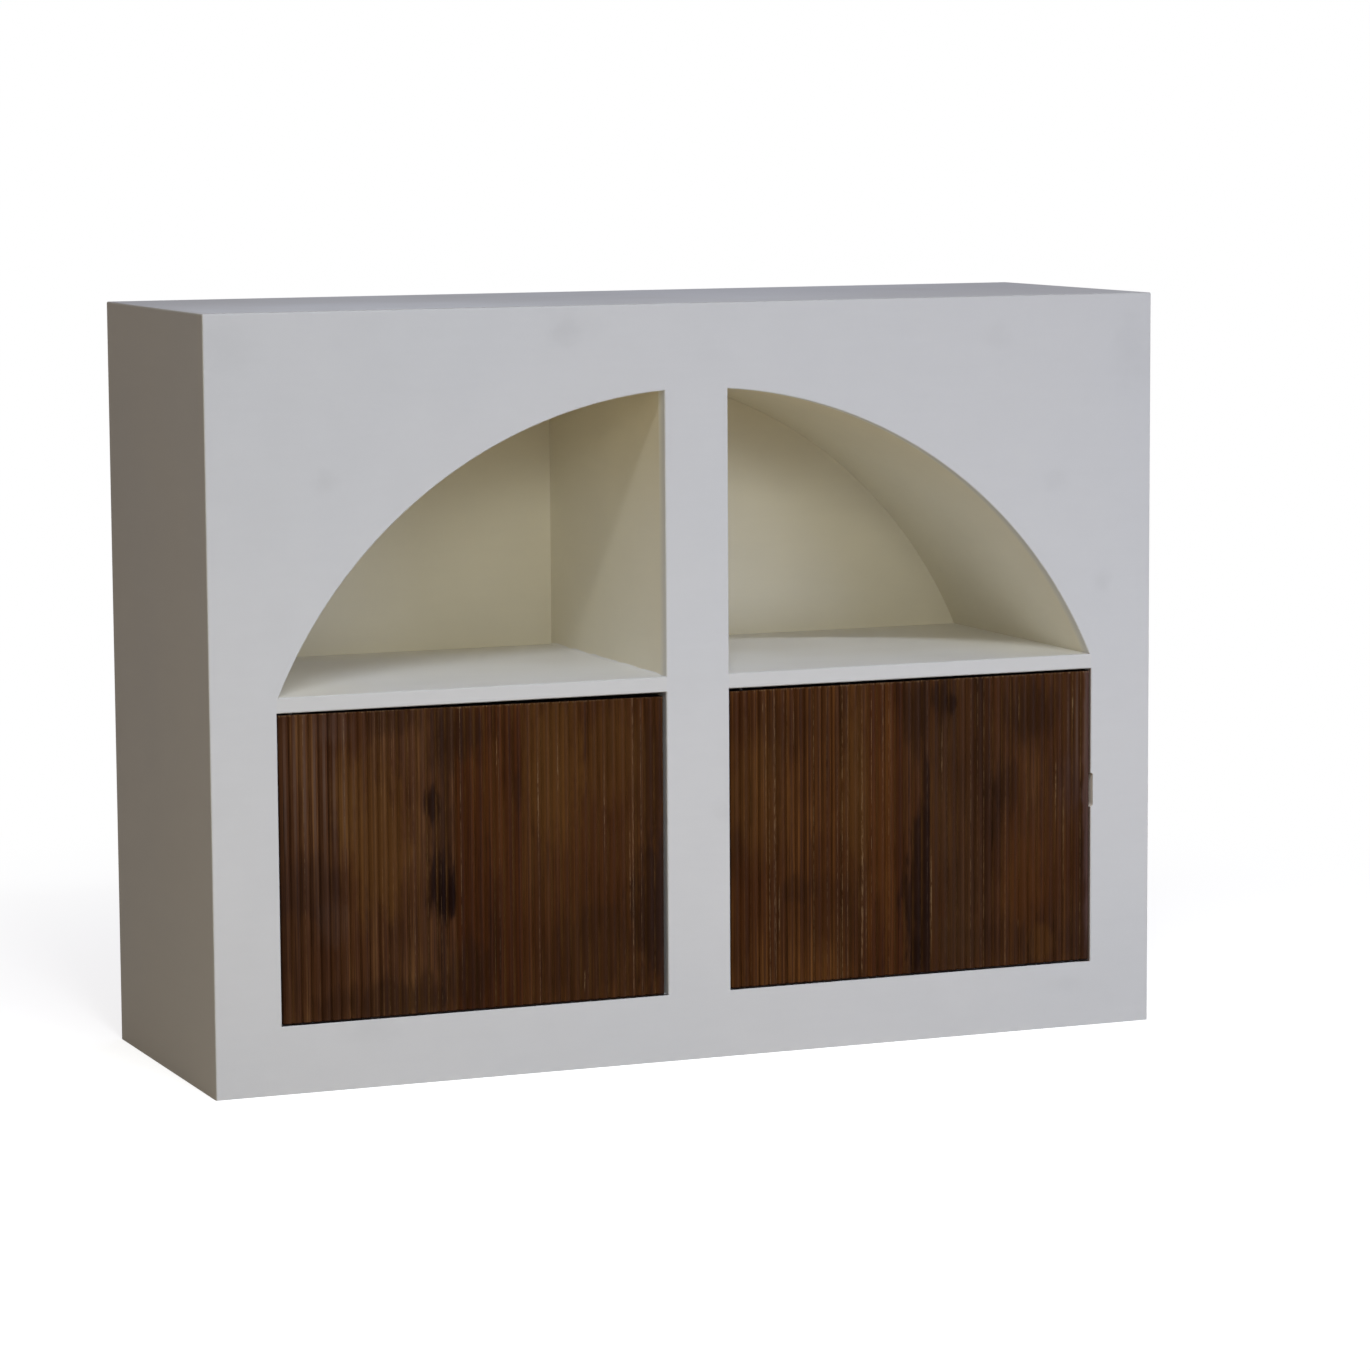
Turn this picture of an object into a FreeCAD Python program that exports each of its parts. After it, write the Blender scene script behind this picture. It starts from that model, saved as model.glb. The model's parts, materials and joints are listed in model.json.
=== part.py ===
import FreeCAD, Part
import math
import os

from FreeCAD import Vector

# Sideboard with a face frame, two arched niches over a shelf and two reeded doors.
# Millimetres. X runs to the right, Y from the front to the back, Z up.
# The origin is on the ground, under the middle of the case.

# Outside of the case
width = 1200.0
depth = 400.0
height = 900.0
edge_round = 2.0
overrun = 10.0
weld = 0.001

# Face frame
frame_thickness = 20.0
outer_stile_width = 80.0
centre_stile_width = 80.0
bottom_rail_height = 80.0
top_rail_height = 100.0
cupboard_opening_height = 363.0
arch_spring_drop = 5.0
opening_ease = 1.0

# Finger scoop in the edge of the right stile
scoop_depth = 3.2
scoop_length = 42.0
scoop_height = 293.0

# Panels of the case
panel_thickness = 18.0
divider_thickness = 16.0
lining_thickness = 16.0
soffit_thickness = 6.0
rib_thickness = 18.0
back_thickness = 12.0
back_recess = 4.0
housing_depth = 6.0
bearer_thickness = 18.0
batten_depth = 30.0
glue_block_leg = 30.0
glue_block_length = 70.0
glue_block_count = 4

# Loose tenons in the joints of the face frame
tenon_length = 40.0
tenon_width = 40.0
tenon_thickness = 8.0
tenon_clearance = 0.05
arch_tenon_low_drop = 300.0
arch_tenon_high_drop = 80.0

# Doors: gaps of each fitted door to its opening
left_hinge_gap = 2.0
left_free_gap_top = 4.2
left_free_gap_bottom = 5.2
left_top_gap_hinge = 2.4
left_top_gap_free = 5.2
left_bottom_gap_hinge = 2.0
left_bottom_gap_free = 1.3
right_hinge_gap = 2.3
right_free_gap_top = 1.2
right_free_gap_bottom = 1.2
right_top_gap_hinge = 3.8
right_top_gap_free = 3.0
right_bottom_gap_hinge = 1.5
right_bottom_gap_free = 2.2

# Doors: reeded planks and battens
door_thickness = 20.0
reed_depth = 3.0
reed_count = 40
left_plank_reeds = [18, 7, 15]
right_plank_reeds = [15, 4, 3, 18]
door_batten_thickness = 14.0
door_batten_width = 50.0
door_batten_inset = 42.0
door_batten_edge_distance = 36.0
door_batten_chamfer = 4.0

# Pivots at the top and bottom of each door
pivot_inset = 16.0
pivot_setback = 10.0
pin_radius = 3.5
pin_seat_length = 32.0
pin_tip_chamfer = 0.8
pin_clearance = 0.05
pin_top_play = 1.0
socket_radius = 5.5
socket_bore_depth = 10.0
socket_length = 13.0
seat_clearance = 0.02

# Magnetic catches
catch_width = 26.0
catch_height = 46.0
catch_depth = 20.0
catch_level = 262.0
catch_wall = 2.5
catch_chamfer = 2.0
catch_flange_length = 9.0
catch_flange_thickness = 3.0
catch_screw_radius = 1.8
pole_plate_thickness = 1.5
pole_plate_reach = 1.0
pole_plate_width = 10.0
magnet_depth = 12.0
strike_thickness = 1.5
strike_width = 12.0
strike_height = 50.0
strike_chamfer = 2.0
catch_air_gap = 0.3

# Planes that the pieces share
half_width = width / 2
front = -depth / 2
back = depth / 2
frame_back = front + frame_thickness
back_panel_rear = back - back_recess
back_panel_front = back_panel_rear - back_thickness
side_inner = half_width - panel_thickness
housing_end = side_inner + housing_depth
opening_outer = half_width - outer_stile_width
opening_inner = centre_stile_width / 2
floor_top = bottom_rail_height
floor_underside = floor_top - panel_thickness
shelf_bottom = floor_top + cupboard_opening_height
shelf_top = shelf_bottom + panel_thickness
top_underside = height - panel_thickness
arch_top = height - top_rail_height
arch_spring = shelf_top - arch_spring_drop
arch_rise = arch_top - arch_spring
arch_radius = (opening_outer ** 2 + arch_rise ** 2) / (2 * arch_rise)
arch_centre = arch_top - arch_radius
door_back = front + door_thickness
pivot_y = front + pivot_setback


# Shapes used by several pieces

def board(x0, x1, y0, y1, z0, z1):
    return Part.makeBox(x1 - x0, y1 - y0, z1 - z0, Vector(x0, y0, z0))


def mirrored(shape):
    return shape.mirror(Vector(0, 0, 0), Vector(1, 0, 0))


def edges_on(shape, x=None, y=None, z=None):
    found = []
    for edge in shape.Edges:
        wanted = True
        for vertex in edge.Vertexes:
            for place, plane in ((vertex.X, x), (vertex.Y, y), (vertex.Z, z)):
                if plane is not None and abs(place - plane) > weld:
                    wanted = False
        if wanted:
            found.append(edge)
    return found


def arch_cylinder(radius, y0, y1):
    base = Vector(0, y0, arch_centre)
    return Part.makeCylinder(radius, y1 - y0, base, Vector(0, 1, 0))


def polygon_face(points):
    return Part.Face(Part.makePolygon(points + points[:1]))


def turned(profile, x, y, z):
    # a profile of (radius, height) pairs, turned about a vertical axis through x, y
    points = [Vector(radius, 0, level) for radius, level in profile]
    solid = polygon_face(points).revolve(Vector(0, 0, 0), Vector(0, 0, 1), 360)
    solid.translate(Vector(x, y, z))
    return solid


# Openings of the face frame, whose front edges are eased

def niche_wire(grow, y):
    radius = arch_radius + grow
    x_inner = -opening_inner + grow
    z_low = shelf_top - grow
    x_outer = -math.sqrt(radius ** 2 - (z_low - arch_centre) ** 2)
    z_high = arch_centre + math.sqrt(radius ** 2 - x_inner ** 2)
    start = math.atan2(z_low - arch_centre, x_outer)
    end = math.atan2(z_high - arch_centre, x_inner)
    middle = (start + end) / 2
    low = Vector(x_outer, y, z_low)
    high = Vector(x_inner, y, z_high)
    crown = Vector(radius * math.cos(middle), y, arch_centre + radius * math.sin(middle))
    corner = Vector(x_inner, y, z_low)
    arc = Part.Arc(low, crown, high).toShape()
    return Part.Wire([arc, Part.makeLine(high, corner), Part.makeLine(corner, low)])


def cupboard_wire(grow, y):
    x0 = -opening_outer - grow
    x1 = -opening_inner + grow
    z0 = floor_top - grow
    z1 = shelf_bottom + grow
    corners = [Vector(x0, y, z0), Vector(x1, y, z0), Vector(x1, y, z1), Vector(x0, y, z1)]
    return Part.makePolygon(corners + corners[:1])


def opening_bevels():
    bevels = []
    for outline in (niche_wire, cupboard_wire):
        outer = outline(opening_ease + overrun, front - overrun)
        inner = outline(0, front + opening_ease)
        bevel = Part.makeLoft([outer, inner], True, True)
        bevels.append(bevel)
        bevels.append(mirrored(bevel))
    return bevels


# Loose tenons of the face frame, each a centre point and whether it runs along the rail

def tenon_places():
    y = front + frame_thickness / 2
    places = [
        (Vector(0, y, floor_top), False),
        (Vector(0, y, arch_top), False),
        (Vector(0, y, (arch_top + height) / 2), True),
    ]
    for x in (-opening_outer, opening_outer):
        for z in (floor_top / 2, height - arch_tenon_low_drop, height - arch_tenon_high_drop):
            places.append((Vector(x, y, z), True))
    return places


def frame_tenons(room=0):
    tenons = []
    for place, along_rail in tenon_places():
        half_length = tenon_length / 2 + room
        half_width_across = tenon_width / 2 + room
        half_y = tenon_thickness / 2 + room
        half_x = half_length if along_rail else half_width_across
        half_z = half_width_across if along_rail else half_length
        tenons.append(board(place.x - half_x, place.x + half_x, place.y - half_y, place.y + half_y,
                            place.z - half_z, place.z + half_z))
    return tenons


# Face frame

def framed(shape):
    return shape.cut(opening_bevels()).cut(frame_tenons(tenon_clearance))


def outer_stile():
    stile = board(-half_width, -opening_outer, front, frame_back, 0, height)
    edges = edges_on(stile, x=-half_width, y=front)
    edges += edges_on(stile, x=-half_width, z=height)
    edges += edges_on(stile, y=front, z=height)
    return stile.makeFillet(edge_round, edges)


def finger_scoop():
    # a shallow bite with rounded ends, right through the stile
    x0 = opening_outer - overrun
    x1 = opening_outer
    x2 = opening_outer + scoop_depth
    z0 = scoop_height - scoop_length / 2
    z1 = scoop_height + scoop_length / 2
    half_share = math.sqrt(0.5)
    y = front - overrun
    bend_x = x1 + scoop_depth * half_share
    bend_z = scoop_depth * (1 - half_share)
    lower = Part.Arc(Vector(x1, y, z0), Vector(bend_x, y, z0 + bend_z), Vector(x2, y, z0 + scoop_depth))
    upper = Part.Arc(Vector(x2, y, z1 - scoop_depth), Vector(bend_x, y, z1 - bend_z), Vector(x1, y, z1))
    edges = [
        Part.makeLine(Vector(x0, y, z0), Vector(x1, y, z0)),
        lower.toShape(),
        Part.makeLine(Vector(x2, y, z0 + scoop_depth), Vector(x2, y, z1 - scoop_depth)),
        upper.toShape(),
        Part.makeLine(Vector(x1, y, z1), Vector(x0, y, z1)),
        Part.makeLine(Vector(x0, y, z1), Vector(x0, y, z0)),
    ]
    length = frame_thickness + 2 * overrun
    return Part.Face(Part.Wire(edges)).extrude(Vector(0, length, 0))


def front_stile_left():
    return framed(outer_stile())


def front_stile_right():
    return framed(mirrored(outer_stile())).cut(finger_scoop())


def front_stile_centre():
    # its top is coped to the arch, so that the arch boards sit on it without a gap
    stile = board(-opening_inner, opening_inner, front, frame_back, floor_top, height)
    return framed(stile.common(arch_cylinder(arch_radius, front - overrun, back)))


def front_bottom_rail():
    rail = board(-opening_outer, opening_outer, front, frame_back, 0, floor_top)
    return framed(rail).cut(socket_seats())


def arch_board():
    blank = board(-opening_outer, 0, front, frame_back, shelf_top, height)
    blank = blank.makeFillet(edge_round, edges_on(blank, y=front, z=height))
    return framed(blank.cut(arch_cylinder(arch_radius, front - overrun, back)))


# Case behind the face frame: the top, back, floor and shelves are let into the sides

def top_panel():
    return board(-housing_end, housing_end, frame_back, back, top_underside, height)


def back_panel():
    return board(-housing_end, housing_end, back_panel_front, back_panel_rear, 0, top_underside)


def cupboard_floor():
    return board(-housing_end, housing_end, frame_back, back_panel_front, floor_underside, floor_top)


def floor_bearer(x):
    return board(x, x + bearer_thickness, frame_back, back_panel_front, 0, floor_underside)


def floor_glue_blocks():
    blocks = []
    spacing = 2 * opening_outer / glue_block_count
    for index in range(glue_block_count):
        x = -opening_outer + spacing * (index + 1 / 2) - glue_block_length / 2
        face = polygon_face([
            Vector(x, frame_back, floor_underside),
            Vector(x, frame_back + glue_block_leg, floor_underside),
            Vector(x, frame_back, floor_underside - glue_block_leg),
        ])
        blocks.append(face.extrude(Vector(glue_block_length, 0, 0)))
    return blocks


def shelf():
    # the nose passes between the stiles and ends flush with their front
    x_inner = -opening_inner + housing_depth
    points = [
        (-opening_outer, front),
        (-opening_inner, front),
        (-opening_inner, frame_back),
        (x_inner, frame_back),
        (x_inner, back_panel_front),
        (-housing_end, back_panel_front),
        (-housing_end, frame_back),
        (-opening_outer, frame_back),
    ]
    face = polygon_face([Vector(x, y, shelf_bottom) for x, y in points])
    return face.extrude(Vector(0, 0, panel_thickness)).cut(opening_bevels())


def side_panel():
    panel = board(-half_width, -side_inner, frame_back, back, 0, height)
    panel = panel.makeFillet(edge_round, edges_on(panel, x=-half_width, z=height))
    return panel.cut([top_panel(), back_panel(), cupboard_floor(), shelf()])


def divider_panel():
    x1 = -opening_inner + divider_thickness
    blank = board(-opening_inner, x1, frame_back, back_panel_front, floor_top, top_underside)
    return blank.cut(shelf())


def divider_core(y):
    x1 = opening_inner - divider_thickness
    return board(-x1, x1, y, y + batten_depth, floor_top, top_underside)


def arch_rib(y):
    blank = board(-side_inner, -opening_inner, y, y + rib_thickness, shelf_top, top_underside)
    return blank.cut(arch_cylinder(arch_radius + soffit_thickness, front, back))


def niche_soffit():
    # a thin bent board that carries the curve of the arch to the back
    outer = arch_cylinder(arch_radius + soffit_thickness, frame_back, back_panel_front)
    inner = arch_cylinder(arch_radius, front, back)
    room = board(-side_inner, -opening_inner, frame_back, back_panel_front, shelf_top, height)
    return outer.cut(inner).common(room)


def cupboard_lining():
    x1 = -opening_outer
    return board(x1 - lining_thickness, x1, frame_back, back_panel_front, floor_top, shelf_bottom)


def lining_battens():
    x1 = -opening_outer - lining_thickness
    battens = []
    for y in (frame_back, back_panel_front - batten_depth):
        battens.append(board(-side_inner, x1, y, y + batten_depth, floor_top, shelf_bottom))
    return battens


# Doors

class Door:
    def __init__(self, name, x_hinge, x_free, gaps, plank_reeds, catch_face):
        hinge, free_top, free_bottom, top_hinge, top_free, bottom_hinge, bottom_free = gaps
        self.name = name
        self.plank_reeds = plank_reeds
        self.catch_face = catch_face
        self.x_hinge = x_hinge + hinge
        self.x_free = x_free - min(free_top, free_bottom)
        self.pitch = (self.x_free - self.x_hinge) / reed_count
        self.z_low = floor_top + bottom_hinge
        self.z_high = shelf_bottom - top_hinge
        self.corners = [
            (self.x_hinge, floor_top + bottom_hinge),
            (x_free - free_bottom, floor_top + bottom_free),
            (x_free - free_top, shelf_bottom - top_free),
            (self.x_hinge, shelf_bottom - top_hinge),
        ]
        self.x_pivot = self.x_hinge + pivot_inset
        self.top_gap = top_hinge
        self.bottom_gap = bottom_hinge


left_gaps = [left_hinge_gap, left_free_gap_top, left_free_gap_bottom, left_top_gap_hinge,
             left_top_gap_free, left_bottom_gap_hinge, left_bottom_gap_free]
right_gaps = [right_hinge_gap, right_free_gap_top, right_free_gap_bottom, right_top_gap_hinge,
              right_top_gap_free, right_bottom_gap_hinge, right_bottom_gap_free]
door_left = Door("door_left", -opening_outer, -opening_inner, left_gaps, left_plank_reeds, -opening_inner)
door_right = Door("door_right", opening_inner, opening_outer, right_gaps, right_plank_reeds, opening_outer)


def door_outline(door):
    face = polygon_face([Vector(x, front - overrun, z) for x, z in door.corners])
    return face.extrude(Vector(0, door_thickness + 2 * overrun, 0))


def door_plank(door, first_reed, reeds):
    # half-round reeds side by side, milled in the face of one plank
    y_valley = front + reed_depth
    x_start = door.x_hinge + first_reed * door.pitch
    edges = []
    for index in range(reeds):
        x0 = x_start + index * door.pitch
        x1 = x0 + door.pitch
        valley_left = Vector(x0, y_valley, floor_top)
        crest = Vector((x0 + x1) / 2, front, floor_top)
        valley_right = Vector(x1, y_valley, floor_top)
        edges.append(Part.Arc(valley_left, crest, valley_right).toShape())
    x_end = x_start + reeds * door.pitch
    corners = [
        Vector(x_end, y_valley, floor_top),
        Vector(x_end, door_back, floor_top),
        Vector(x_start, door_back, floor_top),
        Vector(x_start, y_valley, floor_top),
    ]
    for start, end in zip(corners[:-1], corners[1:]):
        edges.append(Part.makeLine(start, end))
    face = Part.Face(Part.Wire(edges))
    plank = face.extrude(Vector(0, 0, cupboard_opening_height))
    return plank.common(door_outline(door)).cut(pin_holes(door))


def door_batten(door, z):
    x0 = door.x_hinge + door_batten_inset
    x1 = door.x_free - door_batten_inset
    y1 = door_back + door_batten_thickness
    batten = board(x0, x1, door_back, y1, z, z + door_batten_width)
    edges = edges_on(batten, y=y1)
    return batten.makeChamfer(door_batten_chamfer, edges)


# Pivots: a plain pin in the end of the door, turning in a cup let flush into the frame

def pivot_pin(door, z, way, reach):
    profile = [
        (0, way * reach),
        (pin_radius - pin_tip_chamfer, way * reach),
        (pin_radius, way * (reach - pin_tip_chamfer)),
        (pin_radius, -way * pin_seat_length),
        (0, -way * pin_seat_length),
    ]
    return turned(profile, door.x_pivot, pivot_y, z)


def pivot_pins(door):
    bottom_reach = door.bottom_gap + socket_bore_depth
    top_reach = door.top_gap + socket_bore_depth - pin_top_play
    return [pivot_pin(door, door.z_low, -1, bottom_reach), pivot_pin(door, door.z_high, 1, top_reach)]


def pin_holes(door):
    radius = pin_radius + seat_clearance
    length = pin_seat_length + overrun
    low = Vector(door.x_pivot, pivot_y, door.z_low - overrun)
    high = Vector(door.x_pivot, pivot_y, door.z_high - pin_seat_length)
    return [Part.makeCylinder(radius, length, low), Part.makeCylinder(radius, length, high)]


def pivot_sockets(door):
    bore = pin_radius + pin_clearance
    sockets = []
    for z, way in ((floor_top, -1), (shelf_bottom, 1)):
        profile = [
            (bore, 0),
            (socket_radius, 0),
            (socket_radius, way * socket_length),
            (0, way * socket_length),
            (0, way * socket_bore_depth),
            (bore, way * socket_bore_depth),
        ]
        sockets.append(turned(profile, door.x_pivot, pivot_y, z))
    return sockets


def socket_seats():
    radius = socket_radius + seat_clearance
    length = socket_length + overrun
    seats = []
    for door in (door_left, door_right):
        low = Vector(door.x_pivot, pivot_y, floor_top - socket_length)
        high = Vector(door.x_pivot, pivot_y, shelf_bottom - overrun)
        seats.append(Part.makeCylinder(radius, length, low))
        seats.append(Part.makeCylinder(radius, length, high))
    return seats


# Magnetic catches and their strike plates

def catch_case(door):
    x1 = door.catch_face
    x0 = x1 - catch_width
    y0 = door_back + strike_thickness + catch_air_gap + pole_plate_reach
    z0 = catch_level - catch_height / 2
    z1 = catch_level + catch_height / 2
    y1 = y0 + catch_depth
    body = board(x0, x1, y0, y1, z0 + catch_flange_length, z1 - catch_flange_length)
    body = body.makeChamfer(catch_chamfer, edges_on(body, x=x0, y=y0) + edges_on(body, x=x0, y=y1))
    flange = board(x1 - catch_flange_thickness, x1, y0, y1, z0, z1)
    case = body.fuse(flange).cut(board(*magnet_box(door)))
    y = (y0 + y1) / 2
    for z in (z0 + catch_flange_length / 2, z1 - catch_flange_length / 2):
        start = Vector(x1 - catch_flange_thickness - overrun, y, z)
        hole = Part.makeCylinder(catch_screw_radius, 2 * overrun, start, Vector(1, 0, 0))
        case = case.cut(hole)
    return case.removeSplitter()


def magnet_box(door):
    middle = door.catch_face - catch_width / 2
    half = pole_plate_width / 2
    y0 = door_back + strike_thickness + catch_air_gap
    y1 = y0 + pole_plate_reach + magnet_depth
    z_half = catch_height / 2 - catch_flange_length - catch_wall
    return middle - half, middle + half, y0, y1, catch_level - z_half, catch_level + z_half


def catch_magnet(door):
    # a flat magnet between two steel pole plates that stand proud of the case
    x0, x1, y0, y1, z0, z1 = magnet_box(door)
    t = pole_plate_thickness
    left_plate = board(x0, x0 + t, y0, y1, z0, z1)
    right_plate = board(x1 - t, x1, y0, y1, z0, z1)
    magnet = board(x0 + t, x1 - t, y0 + pole_plate_reach, y1, z0, z1)
    return [left_plate, magnet, right_plate]


def strike_plate(door):
    middle = door.catch_face - catch_width / 2
    x0 = middle - strike_width / 2
    x1 = middle + strike_width / 2
    y1 = door_back + strike_thickness
    z0 = catch_level - strike_height / 2
    z1 = catch_level + strike_height / 2
    plate = board(x0, x1, door_back, y1, z0, z1)
    corners = [edge for x in (x0, x1) for z in (z0, z1) for edge in edges_on(plate, x=x, z=z)]
    plate = plate.makeChamfer(strike_chamfer, corners)
    start = Vector(middle, door_back - overrun, catch_level)
    return plate.cut(Part.makeCylinder(catch_screw_radius, 2 * overrun, start, Vector(0, 1, 0)))


# All pieces, by name

def case_pieces():
    rib_back = back_panel_front - rib_thickness
    core_back = back_panel_front - batten_depth
    shelf_left = shelf()
    return {
        "front_stile_left": front_stile_left(),
        "front_stile_centre": front_stile_centre(),
        "front_stile_right": front_stile_right(),
        "front_bottom_rail": front_bottom_rail(),
        "arch_board_left": arch_board(),
        "arch_board_right": mirrored(arch_board()),
        "frame_tenons": frame_tenons(),
        "side_panel_left": side_panel(),
        "side_panel_right": mirrored(side_panel()),
        "top_panel": top_panel(),
        "back_panel": back_panel(),
        "cupboard_floor": cupboard_floor(),
        "floor_bearer_left": floor_bearer(-side_inner),
        "floor_bearer_centre": floor_bearer(-bearer_thickness / 2),
        "floor_bearer_right": floor_bearer(side_inner - bearer_thickness),
        "floor_glue_blocks": floor_glue_blocks(),
        "shelf_left": shelf_left.cut(socket_seats()),
        "shelf_right": mirrored(shelf_left).cut(socket_seats()),
        "divider_panel_left": divider_panel(),
        "divider_panel_right": mirrored(divider_panel()),
        "divider_core_front": divider_core(frame_back),
        "divider_core_back": divider_core(core_back),
        "niche_soffit_left": niche_soffit(),
        "niche_soffit_right": mirrored(niche_soffit()),
        "arch_rib_left_front": arch_rib(frame_back),
        "arch_rib_left_back": arch_rib(rib_back),
        "arch_rib_right_front": mirrored(arch_rib(frame_back)),
        "arch_rib_right_back": mirrored(arch_rib(rib_back)),
        "cupboard_lining_left": cupboard_lining(),
        "cupboard_lining_right": mirrored(cupboard_lining()),
        "lining_battens_left": lining_battens(),
        "lining_battens_right": [mirrored(batten) for batten in lining_battens()],
    }


def door_pieces(door):
    pieces = {}
    first_reed = 0
    for index, reeds in enumerate(door.plank_reeds):
        pieces[f"{door.name}_plank_{index + 1}"] = door_plank(door, first_reed, reeds)
        first_reed += reeds
    batten_low = floor_top + door_batten_edge_distance
    batten_high = shelf_bottom - door_batten_edge_distance - door_batten_width
    pieces[f"{door.name}_batten_bottom"] = door_batten(door, batten_low)
    pieces[f"{door.name}_batten_top"] = door_batten(door, batten_high)
    pieces[f"{door.name}_pivot_pins"] = pivot_pins(door)
    pieces[f"{door.name}_strike_plate"] = strike_plate(door)
    return pieces


def hardware_pieces(door):
    side = door.name.split("_")[1]
    return {
        f"pivot_sockets_{side}": pivot_sockets(door),
        f"catch_case_{side}": catch_case(door),
        f"catch_magnet_{side}": catch_magnet(door),
    }


def main():
    os.makedirs("parts", exist_ok=True)
    pieces = case_pieces()
    for door in (door_left, door_right):
        pieces.update(door_pieces(door))
        pieces.update(hardware_pieces(door))
    for name, shape in pieces.items():
        if isinstance(shape, list):
            shape = Part.makeCompound(shape)
        shape.exportStep(f"parts/{name}.step")
        print(name, len(shape.Solids), shape.isValid(), round(shape.Volume))


main()
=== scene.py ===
import json
import math

import bmesh
import bpy
from mathutils import Euler, Matrix, Vector
from mathutils import noise as bead_noise


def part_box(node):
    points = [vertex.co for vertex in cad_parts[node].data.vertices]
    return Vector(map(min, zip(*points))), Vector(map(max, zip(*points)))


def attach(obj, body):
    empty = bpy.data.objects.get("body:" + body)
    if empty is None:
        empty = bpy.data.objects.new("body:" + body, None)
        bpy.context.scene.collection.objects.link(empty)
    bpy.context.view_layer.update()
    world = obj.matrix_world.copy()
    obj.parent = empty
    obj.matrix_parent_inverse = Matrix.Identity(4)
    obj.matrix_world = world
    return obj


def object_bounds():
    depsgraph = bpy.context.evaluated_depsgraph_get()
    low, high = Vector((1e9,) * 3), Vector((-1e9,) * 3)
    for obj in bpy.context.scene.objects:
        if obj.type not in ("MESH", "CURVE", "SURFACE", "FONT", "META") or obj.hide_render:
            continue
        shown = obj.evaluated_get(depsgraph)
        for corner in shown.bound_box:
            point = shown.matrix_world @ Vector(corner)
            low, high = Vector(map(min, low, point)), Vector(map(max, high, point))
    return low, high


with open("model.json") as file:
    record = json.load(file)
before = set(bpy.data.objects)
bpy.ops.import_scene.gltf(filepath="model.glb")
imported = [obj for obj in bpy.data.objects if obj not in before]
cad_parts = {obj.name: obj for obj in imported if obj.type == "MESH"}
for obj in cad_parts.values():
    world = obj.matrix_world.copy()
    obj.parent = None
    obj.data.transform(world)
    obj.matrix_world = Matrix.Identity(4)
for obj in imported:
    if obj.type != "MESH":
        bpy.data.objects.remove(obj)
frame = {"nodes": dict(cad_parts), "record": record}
cad_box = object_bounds()
nodes = frame["nodes"]
mm = 0.001


# Camera

camera_place = (-2.1226, -5.3541, 1.1260)
camera_azimuth_deg = 22.225
camera_elevation_deg = -6.921
camera_roll_deg = -0.356
camera_lens_mm = 124.83
sensor_mm = 36.0


def make_camera():
    data = bpy.data.cameras.new("camera")
    data.lens = camera_lens_mm
    data.sensor_width = sensor_mm
    camera = bpy.data.objects.new("camera", data)
    bpy.context.scene.collection.objects.link(camera)
    turn = Euler((0, 0, -math.radians(camera_azimuth_deg))).to_matrix()
    tilt = Euler((math.radians(90 + camera_elevation_deg), 0, 0)).to_matrix()
    roll = Euler((0, 0, math.radians(camera_roll_deg))).to_matrix()
    camera.rotation_mode = "QUATERNION"
    camera.rotation_quaternion = (turn @ tilt @ roll).to_quaternion()
    camera.location = camera_place
    bpy.context.scene.camera = camera


# Lights: long panels, each turned in plan

left_turn = -39.5
right_turn = 20
lights = [
    # name, place, target, size, turn in plan, power, colour
    ("key_light", (-0.44, -2.26, 2.77), (-0.44, -3.2, 0), (1.25, 0.22), left_turn, 81, (0.95, 1.0, 1.03)),
    ("far_light", (-1.6, -6.2, 2.6), (0, -0.1, 0.55), (2.4, 1.0), left_turn, 65, (1.01, 1.0, 0.88)),
    ("fill_light", (2.0, -3.0, 0.4), (0, -0.1, 0.4), (1.5, 0.6), right_turn, 21, (0.93, 1.0, 1.22)),
]


def make_light(name, place, target, size, plan_deg, power, colour):
    data = bpy.data.lights.new(name, "AREA")
    data.shape = "RECTANGLE"
    data.size, data.size_y = size
    data.energy = power
    data.color = colour
    plan = math.radians(plan_deg)
    out = (Vector(place) - Vector(target)).normalized()
    up = out.cross(Vector((math.cos(plan), math.sin(plan), 0))).normalized()
    along = up.cross(out)
    light = bpy.data.objects.new(name, data)
    light.location = place
    light.rotation_mode = "QUATERNION"
    light.rotation_quaternion = Matrix((along, up, out)).transposed().to_quaternion()
    light.visible_camera = False
    bpy.context.scene.collection.objects.link(light)


# Shader building blocks

# sockets of the node that mixes two colours
mix_share, mix_a, mix_b, mix_result = 0, 6, 7, 2


def join(tree, shader, inputs):
    # a value that a node makes is linked, and a plain one is written on the socket
    for socket, value in inputs.items():
        if isinstance(value, bpy.types.NodeSocket):
            tree.links.new(value, shader.inputs[socket])
        else:
            shader.inputs[socket].default_value = value


def add(tree, kind, inputs=(), **settings):
    made = tree.nodes.new(kind)
    for name, value in settings.items():
        setattr(made, name, value)
    join(tree, made, dict(inputs))
    return made


def calc(tree, operation, a, b=0.0, c=0.0):
    return add(tree, "ShaderNodeMath", {0: a, 1: b, 2: c}, operation=operation).outputs[0]


def times(tree, product, *others):
    for other in others:
        product = calc(tree, "MULTIPLY", product, other)
    return product


def ripple(tree, wave, change, around):
    # a noise of 0 to 1 moves a value up and down by half of the change
    return calc(tree, "MULTIPLY_ADD", calc(tree, "SUBTRACT", wave, 0.5), change, around)


def as_colour(value):
    return value if isinstance(value, bpy.types.NodeSocket) else (*value, 1.0)


def blend(tree, share, a, b, mode="MIX"):
    inputs = {mix_share: share, mix_a: as_colour(a), mix_b: as_colour(b)}
    return add(tree, "ShaderNodeMix", inputs, data_type="RGBA", blend_type=mode).outputs[mix_result]


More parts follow.
